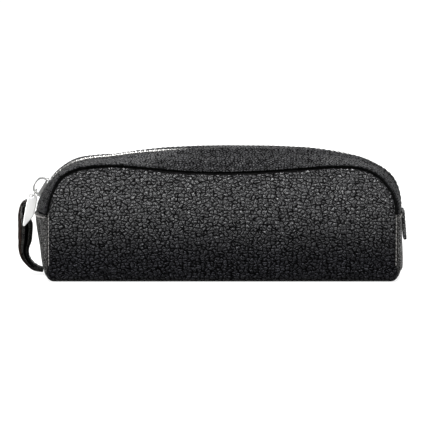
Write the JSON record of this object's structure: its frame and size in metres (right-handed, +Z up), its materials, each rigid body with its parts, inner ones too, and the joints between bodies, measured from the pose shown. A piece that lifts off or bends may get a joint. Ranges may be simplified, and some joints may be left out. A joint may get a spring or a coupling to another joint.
{
  "type": "zipped pen case",
  "caption": "Black pebble-grain leather pen pouch with a domed zip along the top, a carry loop at one end and a short tab at the other.",
  "frame": {"origin": "centre of the flat resting face under the base", "axes": "+X along the length away from the carry loop, -Y towards the front panel, +Z up"},
  "size_m": [0.2211, 0.056, 0.0731],
  "materials": {
    "leather": "satin",
    "lining": "matte",
    "board": "matte",
    "tape": "matte",
    "zip_metal": "polished",
    "slider_metal": "polished"
  },
  "bodies": {
    "case": {"base_panel": "leather", "base_stiffener": "board", "base_lining": "lining", "rear_panel": "leather", "rear_lining": "lining", "left_end_gusset": "leather", "right_end_gusset": "leather", "left_end_lining": "lining", "right_end_lining": "lining", "rear_zip_strip": "leather", "rear_zip_tape": "tape", "rear_teeth": "zip_metal", "rear_top_stop": "zip_metal", "bottom_stop": "zip_metal", "carry_loop": "leather", "end_tab": "leather"},
    "front_half": {"front_panel": "leather", "front_lining": "lining", "front_zip_strip": "leather", "front_zip_tape": "tape", "front_teeth": "zip_metal", "front_top_stop": "zip_metal"},
    "slider": {"slider_body": "slider_metal", "slider_bridge": "slider_metal"},
    "link": {"pull_link": "slider_metal"},
    "pull_tab": {"pull_tab": "slider_metal"}
  },
  "joints": [
    {"name": "mouth_open", "type": "hinge", "parent": "case", "child": "front_half", "pos_m": [0, -0.0248, 0.0053], "axis": [1, 0, 0], "range_deg": [0, 22], "deforming": ["front_teeth", "front_zip_tape"]},
    {"name": "slider_travel", "type": "hinge", "parent": "case", "child": "slider", "pos_m": [-0.0648, 0, 0.0278], "axis": [0, 1, 0], "range_deg": [-1, 38], "deforming": ["front_teeth", "rear_teeth", "front_zip_tape", "rear_zip_tape"]},
    {"name": "link_swing", "type": "hinge", "parent": "slider", "child": "link", "pos_m": [-0.10544, 0, 0.049], "axis": [0, 1, 0], "range_deg": [0, 85]},
    {"name": "tab_swing", "type": "hinge", "parent": "link", "child": "pull_tab", "pos_m": [-0.10776, 0, 0.04575], "axis": [0, 1, 0], "range_deg": [0, 90]}
  ]
}
